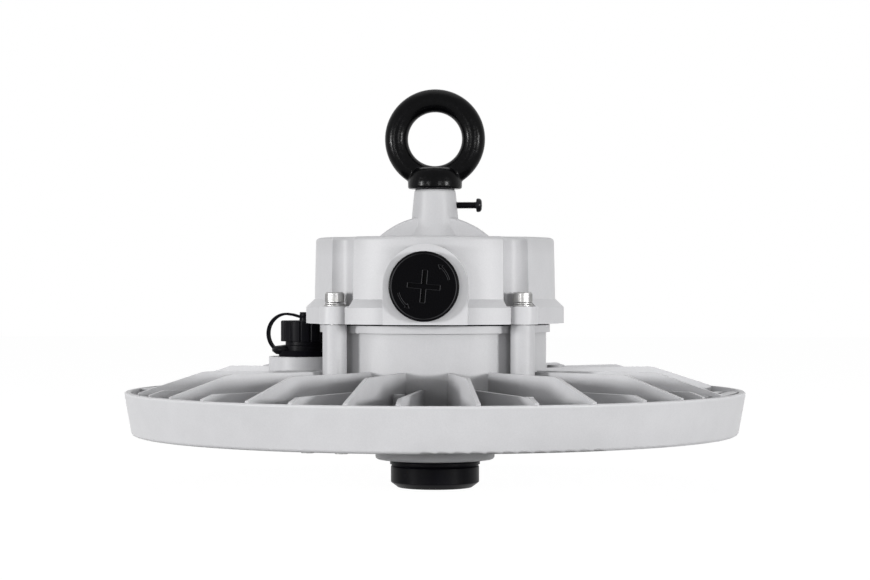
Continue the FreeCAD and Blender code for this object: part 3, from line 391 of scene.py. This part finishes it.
finishes = {
    # the castings' powder coat, with painted shade in its corners
    "cast_paint": makePowderCoat("powderCoat"),
    "black_paint": makeForgedBlack("forgedBlack"),
    "steel": makeSteel("zincSteel"),
    "black_steel": makeMouldedBlack("blackedSteel", 0.003, roughness=0.22, gloss=0.2, grainPerMetre=3000),
    "black_plastic": makeMouldedBlack("mouldedBlack", 0.0024, roughness=0.38, gloss=0.06),
    "rubber": makeMouldedBlack("rubberBlack", 0.003, roughness=0.6, gloss=0.03, grainPerMetre=1500),
    "board_white": makePlain("boardWhite", (0.82, 0.83, 0.82), roughness=0.35),
    "led_yellow": makePlain("phosphor", (0.85, 0.62, 0.10), roughness=0.3),
    "lens_clear": makeLens("clearLens"),
    "driver_case": makePlain("driverCase", (0.66, 0.66, 0.67), roughness=0.4),
    "terminal_white": makePlain("terminalWhite", (0.76, 0.76, 0.73), roughness=0.45),
}
slotOf = {row["node"]: row["material_slot"] for row in frame["record"]["subparts"]}
for name, node in nodes.items():
    for place in node.material_slots:
        place.material = finishes[slotOf[name]]
print("materials made:", len(finishes))


# what all pieces are shaped with: lengths in metres, angles in degrees
shaping = {
    "joinGap": 0.000003,        # corners nearer than this are one
    "copyGap": 0.000002,        # the same on a copy of a drawn node
    "flatAngle": 0.4,           # faces that differ less are one
    "flatFace": 0.05,           # the same on the castings
    "smoothAngle": 35,
    "sharpAngle": 32,
    "evenness": 80,             # how far flat faces keep their own shading
}


def deselectAll():
    if bpy.context.object and bpy.context.object.mode != "OBJECT":
        bpy.ops.object.mode_set(mode="OBJECT")
    bpy.ops.object.select_all(action="DESELECT")


def pick(piece):
    deselectAll()
    piece.select_set(True)
    bpy.context.view_layer.objects.active = piece


def editAll(piece):
    pick(piece)
    bpy.ops.object.mode_set(mode="EDIT")
    bpy.ops.mesh.select_all(action="SELECT")


def leaveEdit():
    bpy.ops.object.mode_set(mode="OBJECT")


def applyPlace(piece):
    pick(piece)
    bpy.ops.object.transform_apply(location=True, rotation=True, scale=True)


def applyModifier(piece, kind, **settings):
    pick(piece)
    modifier = piece.modifiers.new(kind.lower(), kind)
    for name, value in settings.items():
        setattr(modifier, name, value)
    bpy.ops.object.modifier_apply(modifier=modifier.name)


def finishPiece(piece, material, nodeNames, smoothAngle=shaping["smoothAngle"]):
    applyPlace(piece)
    bpy.ops.object.shade_smooth_by_angle(angle=math.radians(smoothAngle))
    applyModifier(piece, "WEIGHTED_NORMAL", keep_sharp=True, weight=shaping["evenness"])
    piece.data.materials.clear()
    piece.data.materials.append(material)
    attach(piece, "root")
    if nodeNames:
        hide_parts(*nodeNames)


def mergedCopy(nodeName, pieceName, flatAngle):
    piece = bpy.data.objects.new(pieceName, nodes[nodeName].data.copy())
    bpy.context.collection.objects.link(piece)
    editAll(piece)
    bpy.ops.mesh.customdata_custom_splitnormals_clear()
    bpy.ops.mesh.remove_doubles(threshold=shaping["copyGap"])
    bpy.ops.mesh.dissolve_limited(angle_limit=math.radians(flatAngle))
    leaveEdit()
    return piece


# sharp edges to round, apart from the rim's lower edge, which is drawn rounded
def markSharpEdges(casting, sharpest):
    editAll(casting)
    bpy.ops.mesh.select_mode(type="EDGE")
    bpy.ops.mesh.select_all(action="DESELECT")
    bpy.ops.mesh.edges_select_sharp(sharpness=math.radians(sharpest))
    leaveEdit()
    points = casting.data.vertices
    for edge in casting.data.edges:
        near = points[edge.vertices[0]].co
        if near.z < rimEdge["below"] and near.xy.length > rimEdge["beyond"]:
            edge.select = False
    bpy.ops.object.mode_set(mode="EDIT")
    bpy.ops.transform.edge_bevelweight(value=1.0)
    bpy.ops.mesh.select_mode(type="VERT")
    leaveEdit()


# coats of the two large castings: painted light and shade across the heat sink, painted shade near the
# cover's top
pieceFinish = {
    "heat_sink": makePowderCoat("sinkCoatPaintedLightAndShade", paintedLightAndShadeAcross),
    "top_cover": makePowderCoat("coverCoatPaintedShade", paintedShadeUpwards),
}
# the rim's lower edge is under this height and past this radius
rimEdge = {"below": 0.027, "beyond": 0.133}
# softened copies: their names, the rounding, and the angle past which an edge is rounded
castings = {
    "heat_sink": ("heatSinkCasting", 0.00035, 50),
    "top_cover": ("topCoverCasting", 0.0008, shaping["sharpAngle"]),
    "sensor_collar": ("sensorCollarCasting", 0.0003, shaping["sharpAngle"]),
    "flat_washers": ("flatWashers", 0.00012, shaping["sharpAngle"]),
    "lens_screws": ("lensScrewHeads", 0.00015, shaping["sharpAngle"]),
    "connector_socket": ("connectorSocket", 0.0004, shaping["sharpAngle"]),
    "connector_cap": ("connectorCap", 0.0003, shaping["sharpAngle"]),
    "cap_strap": ("capStrap", 0.00025, shaping["sharpAngle"]),
    "sensor_cap": ("sensorCapMoulding", 0.0003, shaping["sharpAngle"]),
}
for nodeName, (pieceName, rounding, sharpest) in castings.items():
    casting = mergedCopy(nodeName, pieceName, shaping["flatFace"])
    markSharpEdges(casting, sharpest)
    applyModifier(casting, "BEVEL", width=rounding, segments=2, limit_method="WEIGHT")
    finish = pieceFinish.get(nodeName, finishes[slotOf[nodeName]])
    finishPiece(casting, finish, [nodeName], sharpest)
    print("softened:", pieceName, len(casting.data.polygons), "faces")


# one corner at a point, left in edit mode
def startVertex(name, point):
    deselectAll()
    bpy.ops.mesh.primitive_plane_add(size=0.001)
    piece = bpy.context.object
    piece.name = name
    editAll(piece)
    bpy.ops.mesh.merge(type="CENTER")
    bpy.ops.transform.translate(value=point)
    return piece


# a line through (radius, height) points, drawn in the XZ plane by extruding its end
def drawLine(name, points):
    piece = startVertex(name, (points[0][0], 0, points[0][1]))
    for before, after in zip(points, points[1:]):
        step = (after[0] - before[0], 0, after[1] - before[1])
        bpy.ops.mesh.extrude_region_move(TRANSFORM_OT_translate={"value": step})
    leaveEdit()
    return piece


# a line spun round Z; a part turn runs clockwise, seen from above
def lathe(name, points, steps, angle=360):
    piece = drawLine(name, points)
    editAll(piece)
    bpy.ops.mesh.spin(steps=steps, angle=math.radians(angle), center=(0, 0, 0), axis=(0, 0, 1))
    bpy.ops.mesh.select_all(action="SELECT")
    bpy.ops.mesh.remove_doubles(threshold=shaping["joinGap"])
    bpy.ops.mesh.normals_make_consistent(inside=False)
    leaveEdit()
    return piece


def cutAway(piece, cutter):
    applyModifier(piece, "BOOLEAN", object=cutter, operation="DIFFERENCE", solver="EXACT")
    bpy.data.objects.remove(cutter, do_unlink=True)


def joinPieces(pieces):
    deselectAll()
    for piece in pieces:
        piece.select_set(True)
    bpy.context.view_layer.objects.active = pieces[0]
    bpy.ops.object.join()
    return pieces[0]


def softenEdges(piece, width, segments=2, angle=40):
    applyModifier(piece, "BEVEL", width=width, segments=segments, limit_method="ANGLE",
                  angle_limit=math.radians(angle))


def addBox(name, size, location, turn=0.0):
    deselectAll()
    bpy.ops.mesh.primitive_cube_add(size=1, location=location, rotation=(0, 0, turn))
    box = bpy.context.object
    box.name = name
    box.scale = size
    applyPlace(box)
    return box


# forged eye bolt: the ring flows into its foot
eye = {
    "voxel": 0.00045,
    "smoothing": 6,             # passes
    "factor": 0.5,              # and the strength of each
    "swell": 0.00027,           # makes up for what smoothing takes
    "squash": 0.9944,           # brings the top back to its drawn height
    "foot": 0.1351,             # height of the foot's seat
    "footSteps": 72,
    "smoothAngle": 60,
    "footProfile": [            # radius and height over the seat
        (0, -0.001), (0.0117, 0.00025), (0.0120, 0.0006), (0.01195, 0.0032), (0.0117, 0.0050),
        (0.0111, 0.0068), (0.0103, 0.0081), (0.0090, 0.0089), (0, 0.0092),
    ],
}
eyeFoot = lathe("eyeFoot", eye["footProfile"], eye["footSteps"])
eyeFoot.location.z = eye["foot"]
applyPlace(eyeFoot)
eyeBolt = joinPieces([mergedCopy("eye_bolt", "eyeBoltForging", shaping["flatAngle"]), eyeFoot])
applyModifier(eyeBolt, "REMESH", mode="VOXEL", voxel_size=eye["voxel"])
applyModifier(eyeBolt, "SMOOTH", factor=eye["factor"], iterations=eye["smoothing"])
applyModifier(eyeBolt, "DISPLACE", strength=eye["swell"], mid_level=0.0)
editAll(eyeBolt)
bpy.ops.transform.resize(value=(1, 1, eye["squash"]), center_override=(0, 0, eye["foot"]))
leaveEdit()
finishPiece(eyeBolt, finishes["black_paint"], ["eye_bolt"], eye["smoothAngle"])
print("eye bolt:", len(eyeBolt.data.polygons), "faces")

# sleeve on the cap's button and the lug where the strap leaves its ring
connector = {
    "steps": 40,
    "rounding": 0.0002,
    "buttonSleeve": {
        "middle": (-0.06308, 0.03104, 0),
        "profile": [            # radius and height
            (0, 0.0745), (0.0029, 0.0745), (0.0027, 0.0761), (0.0027, 0.0779), (0, 0.0779),
        ],
    },
    "strapLug": {
        "middle": (-0.0716, 0.03104, 0),
        "profile": [
            (0, 0.0590), (0.0052, 0.0590), (0.0071, 0.0604), (0.0072, 0.0616), (0.0060, 0.0628),
            (0, 0.0636),
        ],
    },
}
for pieceName in ("buttonSleeve", "strapLug"):
    extra = lathe(pieceName, connector[pieceName]["profile"], connector["steps"])
    extra.location = connector[pieceName]["middle"]
    softenEdges(extra, connector["rounding"], 2, shaping["sharpAngle"])
    finishPiece(extra, finishes["black_plastic"], [])
print("connector: sleeve and lug made")

# blanking plug, modelled face up and then turned to the front
plug = {
    "radius": 0.0151,
    "head": 0.0026,
    "rimRadius": 0.0142,        # inner edge of the raised rim
    "rimSlope": 0.0004,         # width of the slope down to the face
    "recess": 0.0004,           # the face lies this far below the rim
    "edge": 0.0006,
    "edgeBulge": 0.3,           # share of the edge that its middle corner stands back
    "rounding": 0.00012,
    "roundedPast": 50,          # degrees
    "threadRadius": 0.0122,
    "threadLength": 0.008,
    "steps": 96,
    "smoothAngle": 18,
    "slotHalf": 0.0069,
    "slotWide": 0.0019,
    "slotDepth": 0.0021,
    "slotTurn": -5.0,           # degrees, seen from the front
    "slotMouth": 0.00026,       # chamfer round the slots
    "markRadius": 0.0111,
    "markWide": 0.0009,
    "markHigh": 0.00026,
    "markSunk": 0.0001,         # how far a mark reaches into the face
    "markEdge": 0.00018,
    "markSpan": 36,
    "markSteps": 12,
    "markStarts": (14, 194),
    "tipRadius": 0.0014,        # of the arrow's tip
    "seat": (-0.0004, -0.0612, 0.0908),
    "paintedHighlightReach": 0.01455,       # edges past this radius keep only a small share of the painted highlight
}
top = plug["head"]
face = top - plug["recess"]
plugHead = lathe("blankingPlug", [
    (0, -plug["threadLength"]),
    (plug["threadRadius"], -plug["threadLength"]),
    (plug["threadRadius"], 0),
    (plug["radius"], 0),
    (plug["radius"], top - plug["edge"]),
    (plug["radius"] - plug["edge"] * plug["edgeBulge"], top - plug["edge"] * plug["edgeBulge"]),
    (plug["radius"] - plug["edge"], top),
    (plug["rimRadius"], top),
    (plug["rimRadius"] - plug["rimSlope"], face),
    (0, face),
], plug["steps"])
half, wide, mouth = plug["slotHalf"], plug["slotWide"], plug["slotMouth"]
for quarter in (0, 90):
    turn = math.radians(quarter + plug["slotTurn"])
    cutAway(plugHead, addBox("slotBox", (2 * half, wide, 2 * plug["slotDepth"]), (0, 0, face), turn))
    mouthBox = addBox("slotMouth", (2 * (half + mouth), wide + 2 * mouth, 3 * mouth),
                      (0, 0, face + mouth / 2), turn)
    softenEdges(mouthBox, mouth, 1)
    cutAway(plugHead, mouthBox)
softenEdges(plugHead, plug["rounding"], 2, plug["roundedPast"])

low, high = face - plug["markSunk"], face + plug["markHigh"]
middle = plug["markRadius"]
inner, outer = middle - plug["markWide"] / 2, middle + plug["markWide"] / 2
marks = []
for begin in plug["markStarts"]:
    tip = math.radians(begin + plug["markSpan"])
    outline = [(inner, low), (inner, high), (outer, high), (outer, low)]
    bar = lathe("markBar", outline, plug["markSteps"], plug["markSpan"])
    bar.rotation_euler.z = tip
    deselectAll()
    bpy.ops.mesh.primitive_cylinder_add(
        vertices=3, radius=plug["tipRadius"], depth=high - low, rotation=(0, 0, tip),
        location=(math.cos(tip) * middle, math.sin(tip) * middle, (low + high) / 2))
    marks += [bar, bpy.context.object]
for mark in marks:
    softenEdges(mark, plug["markEdge"], 1)
plugHead = joinPieces([plugHead] + marks)
plugHead.location = plug["seat"]
plugHead.rotation_euler.x = math.radians(90)
# the plug's material carries a painted highlight on its edges
plugMouldingPaintedHighlight = makeHighlightPaintedBlack("plugMouldingPaintedHighlight", plug["seat"], plug["paintedHighlightReach"])
finishPiece(plugHead, plugMouldingPaintedHighlight, ["blanking_plug"], plug["smoothAngle"])
print("plug:", len(plugHead.data.polygons), "faces")

# lock screw: a cut thread with a pan head
lockScrew = {
    "crest": 0.0016,
    "root": 0.00137,
    "pitch": 0.0005,
    # a turn of the thread: shares of the pitch where the flank and the crest begin and the crest ends
    "turn": (0.2, 0.55, 0.65),
    "turnSteps": 20,
    "start": 0.0052,            # along the screw, from the lamp's axis
    "headFoot": 0.0188,
    "headRadius": 0.0031,
    "headHeight": 0.0025,
    "headEdge": 0.0003,
    "headSteps": 48,
    "dome": [                   # shares of the head's radius and height
        (1, 0.45), (0.95, 0.68), (0.82, 0.86), (0.6, 0.97), (0.3, 1), (0, 1),
    ],
    "neckDeep": 0.0006,         # cone under the head
    "neckFlare": 0.0002,
    "crossHalf": 0.0018,
    "crossWide": 0.0006,
    "crossDepth": 0.0012,
    "crossTurn": 20,
    "height": 0.1275,
    "smoothAngle": 40,
}
root, crest, pitch = lockScrew["root"], lockScrew["crest"], lockScrew["pitch"]
flankFrom, crestFrom, crestTo = lockScrew["turn"]
turns = int((lockScrew["headFoot"] - lockScrew["start"]) / pitch)
thread = drawLine("lockScrewThread", [
    (root, 0),
    (root, pitch * flankFrom),
    (crest, pitch * crestFrom),
    (crest, pitch * crestTo),
    (root, pitch),
])
applyModifier(thread, "SCREW", axis="Z", angle=math.radians(360), screw_offset=pitch, iterations=turns,
              steps=lockScrew["turnSteps"], render_steps=lockScrew["turnSteps"], use_merge_vertices=True,
              merge_threshold=shaping["copyGap"], use_normal_calculate=True)
thread.location.z = lockScrew["headFoot"] - (turns + 1) * pitch
rise, wide, edge = lockScrew["headHeight"], lockScrew["headRadius"], lockScrew["headEdge"]
panHead = lathe("lockScrewHead", [
    (0, -lockScrew["neckDeep"]),
    (root, -lockScrew["neckDeep"]),
    (crest + lockScrew["neckFlare"], 0),
    (wide - edge, 0),
    (wide, edge),
] + [(wide * across, rise * up) for across, up in lockScrew["dome"]], lockScrew["headSteps"])
for quarter in (0, 90):
    crossSize = (2 * lockScrew["crossHalf"], lockScrew["crossWide"], 2 * lockScrew["crossDepth"])
    turn = math.radians(quarter + lockScrew["crossTurn"])
    cutAway(panHead, addBox("crossBox", crossSize, (0, 0, rise), turn))
panHead.location.z = lockScrew["headFoot"]
screwPiece = joinPieces([thread, panHead])
applyPlace(screwPiece)
screwPiece.location.z = lockScrew["height"]
screwPiece.rotation_euler.y = math.radians(90)
finishPiece(screwPiece, finishes["black_steel"], ["eye_lock_screw"],
            lockScrew["smoothAngle"])
print("lock screw:", len(screwPiece.data.polygons), "faces")

# cover screws: socket heads with a knurled side
capScrew = {
    "out": 0.041012,            # along X and along Y, from the lamp's axis
    "sides": ((1, 1), (-1, 1), (-1, -1), (1, -1)),
    "turns": (10, 35, 50, 20),
    "seat": 0.0837,
    "headRadius": 0.00412,
    "headHeight": 0.0046,
    "headSteps": 48,
    "footEdge": 0.0003,
    "topEdge": 0.0006,
    "topRound": 0.0002,
    "socket": 0.002,            # half across the flats
    "socketDepth": 0.0023,
    "ribs": 36,
    "ribHigh": 0.00013,
    "ribWide": 0.00036,
    "ribBand": (0.0005, 0.0038),
    "shankRadius": 0.0025,
    "shankLength": 0.022,
}
screwPlaces = [(side[0] * capScrew["out"], side[1] * capScrew["out"]) for side in capScrew["sides"]]
wide, rise = capScrew["headRadius"], capScrew["headHeight"]
screwHead = lathe("coverScrews", [
    (0, -capScrew["shankLength"]),
    (capScrew["shankRadius"], -capScrew["shankLength"]),
    (capScrew["shankRadius"], 0),
    (wide - capScrew["footEdge"], 0),
    (wide, capScrew["footEdge"]),
    (wide, rise - capScrew["topEdge"]),
    (wide - capScrew["topRound"], rise - capScrew["topRound"]),
    (wide - capScrew["topEdge"], rise),
    (0, rise),
], capScrew["headSteps"])
deselectAll()
bpy.ops.mesh.primitive_cylinder_add(vertices=6, radius=capScrew["socket"] / math.cos(math.pi / 6),
                                    depth=2 * capScrew["socketDepth"], location=(0, 0, rise))
cutAway(screwHead, bpy.context.object)
low, high = capScrew["ribBand"]
rib = addBox("screwRib", (2 * capScrew["ribHigh"], capScrew["ribWide"], high - low),
             (wide, 0, (low + high) / 2))
editAll(rib)
bpy.ops.mesh.spin(steps=capScrew["ribs"], dupli=True, angle=math.radians(360), center=(0, 0, 0),
                  axis=(0, 0, 1))
leaveEdit()
screwHead = joinPieces([screwHead, rib])

# split spring washers, each one turn of a flat spiral
springWasher = {
    "seat": 0.0827,
    "inner": 0.0028,
    "outer": 0.0043,
    "thick": 0.00072,
    "rise": 0.00026,
    "angle": 348,
    "steps": 48,
    "rounding": 0.00012,
    "turns": (250, 200, 290, 330),
}
inner, outer, thick = springWasher["inner"], springWasher["outer"], springWasher["thick"]
washer = drawLine("springWashers", [(inner, 0), (outer, 0), (outer, thick), (inner, thick), (inner, 0)])
editAll(washer)
bpy.ops.mesh.remove_doubles(threshold=shaping["joinGap"])
leaveEdit()
applyModifier(washer, "SCREW", axis="Z", angle=math.radians(springWasher["angle"]),
              screw_offset=springWasher["rise"], steps=springWasher["steps"],
              render_steps=springWasher["steps"])
editAll(washer)
bpy.ops.mesh.select_all(action="DESELECT")
bpy.ops.mesh.select_non_manifold()
bpy.ops.mesh.fill()
bpy.ops.mesh.select_all(action="SELECT")
bpy.ops.mesh.normals_make_consistent(inside=False)
leaveEdit()
softenEdges(washer, springWasher["rounding"])


# one copy of a piece at each cover screw, each turned about its own axis
def copiesAtScrews(piece, turns, height):
    copies = []
    for place, turn in zip(screwPlaces, turns):
        pick(piece)
        bpy.ops.object.duplicate()
        bpy.context.object.location = (place[0], place[1], height)
        bpy.context.object.rotation_euler.z = math.radians(turn)
        copies.append(bpy.context.object)
    name = piece.name
    bpy.data.objects.remove(piece, do_unlink=True)
    joined = joinPieces(copies)
    joined.name = name
    applyPlace(joined)
    return joined


coverScrews = copiesAtScrews(screwHead, capScrew["turns"], capScrew["seat"])
finishPiece(coverScrews, finishes["steel"], ["cover_screws"])
springWashers = copiesAtScrews(washer, springWasher["turns"], springWasher["seat"])
finishPiece(springWashers, finishes["steel"], ["spring_washers"])
print("cover screws:", len(coverScrews.data.polygons), "faces")

camera = {
    "azimuth": 4.0,             # degrees towards +X from the front
    "distance": 1.035,
    "height": 0.0914,
    "lens": 94.5,               # millimetres, as the sensor
    "sensor": 36,
    "shift": -0.00575,
    "nearest": 0.01,
}
turn = math.radians(camera["azimuth"])
eyePoint = Vector((math.sin(turn), -math.cos(turn), 0)) * camera["distance"]
eyePoint.z = camera["height"]
bpy.ops.object.camera_add(location=eyePoint, rotation=(math.pi / 2, 0, turn))
cameraObject = bpy.context.object
cameraObject.data.lens = camera["lens"]
cameraObject.data.sensor_width = camera["sensor"]
cameraObject.data.shift_y = camera["shift"]
cameraObject.data.clip_start = camera["nearest"]
bpy.context.scene.camera = cameraObject

# studio: white surroundings for the camera, gloss and glass, an even level for the rest
studio = {
    "fill": 0.20,
    "floorSize": 6.0,
    "floorShade": 0.15,         # what the floor throws back on the lamp
    "paperShade": 0.9,          # what the camera sees of the floor's own shade
    "glow": 1.08,
    "glowShare": 0.90,          # share of the floor's white that no shadow dims
    "lamps": [
        # place, height aimed at, size, watts
        ((-1.05, -0.74, 0.19), 0.05, (0.17, 0.18), 9.6),
        ((1.05, -0.74, 0.19), 0.05, (0.17, 0.18), 9.3),
        ((-0.62, -1.35, 0.20), 0.05, (0.3, 0.16), 2.6),
        ((0.62, -1.35, 0.20), 0.05, (0.3, 0.16), 2.6),
        ((0.0, 0.1, 1.5), 0.08, (1.2, 1.0), 3.0),
    ],
}
world = bpy.data.worlds.new("studioWorld")
bpy.context.scene.world = world
world.use_nodes = True
world.node_tree.nodes.clear()
air = Wire(world.node_tree)
backdrop = air.add("Background", None, {
    "Color": rgb(1), "Strength": air.seenDirectly() * (1 - studio["fill"]) + studio["fill"]})
air.add("OutputWorld", None, {"Surface": backdrop})

for index, (place, aimedAt, size, watts) in enumerate(studio["lamps"]):
    bpy.ops.object.light_add(type="AREA", location=place)
    lamp = bpy.context.object
    lamp.name = "studioLamp%d" % index
    lamp.rotation_euler = (Vector((0, 0, aimedAt)) - Vector(place)).to_track_quat("-Z", "Y").to_euler()
    lamp.data.shape = "RECTANGLE"
    lamp.data.size, lamp.data.size_y = size
    lamp.data.energy = watts

deselectAll()
bpy.ops.mesh.primitive_plane_add(size=studio["floorSize"], location=(0, 0, 0))
floor = bpy.context.object
floor.name = "studioFloor"
floorFinish, wire = newMaterial("floorWhite")
paper = wire.add("BsdfDiffuse", None, {"Color": rgb(studio["floorShade"])})
brightPaper = wire.add("BsdfDiffuse", None, {"Color": rgb(studio["paperShade"])})
glow = wire.add("Emission", None, {"Color": rgb(1), "Strength": studio["glow"]})
white = wire.add("MixShader", None, {0: studio["glowShare"], 1: brightPaper, 2: glow})
wire.add("OutputMaterial", None, {"Surface": wire.add("MixShader", None, {
    0: wire.seenDirectly(), 1: paper, 2: white})})
floor.data.materials.append(floorFinish)
print("studio set")

bpy.context.scene.view_settings.view_transform = "Standard"
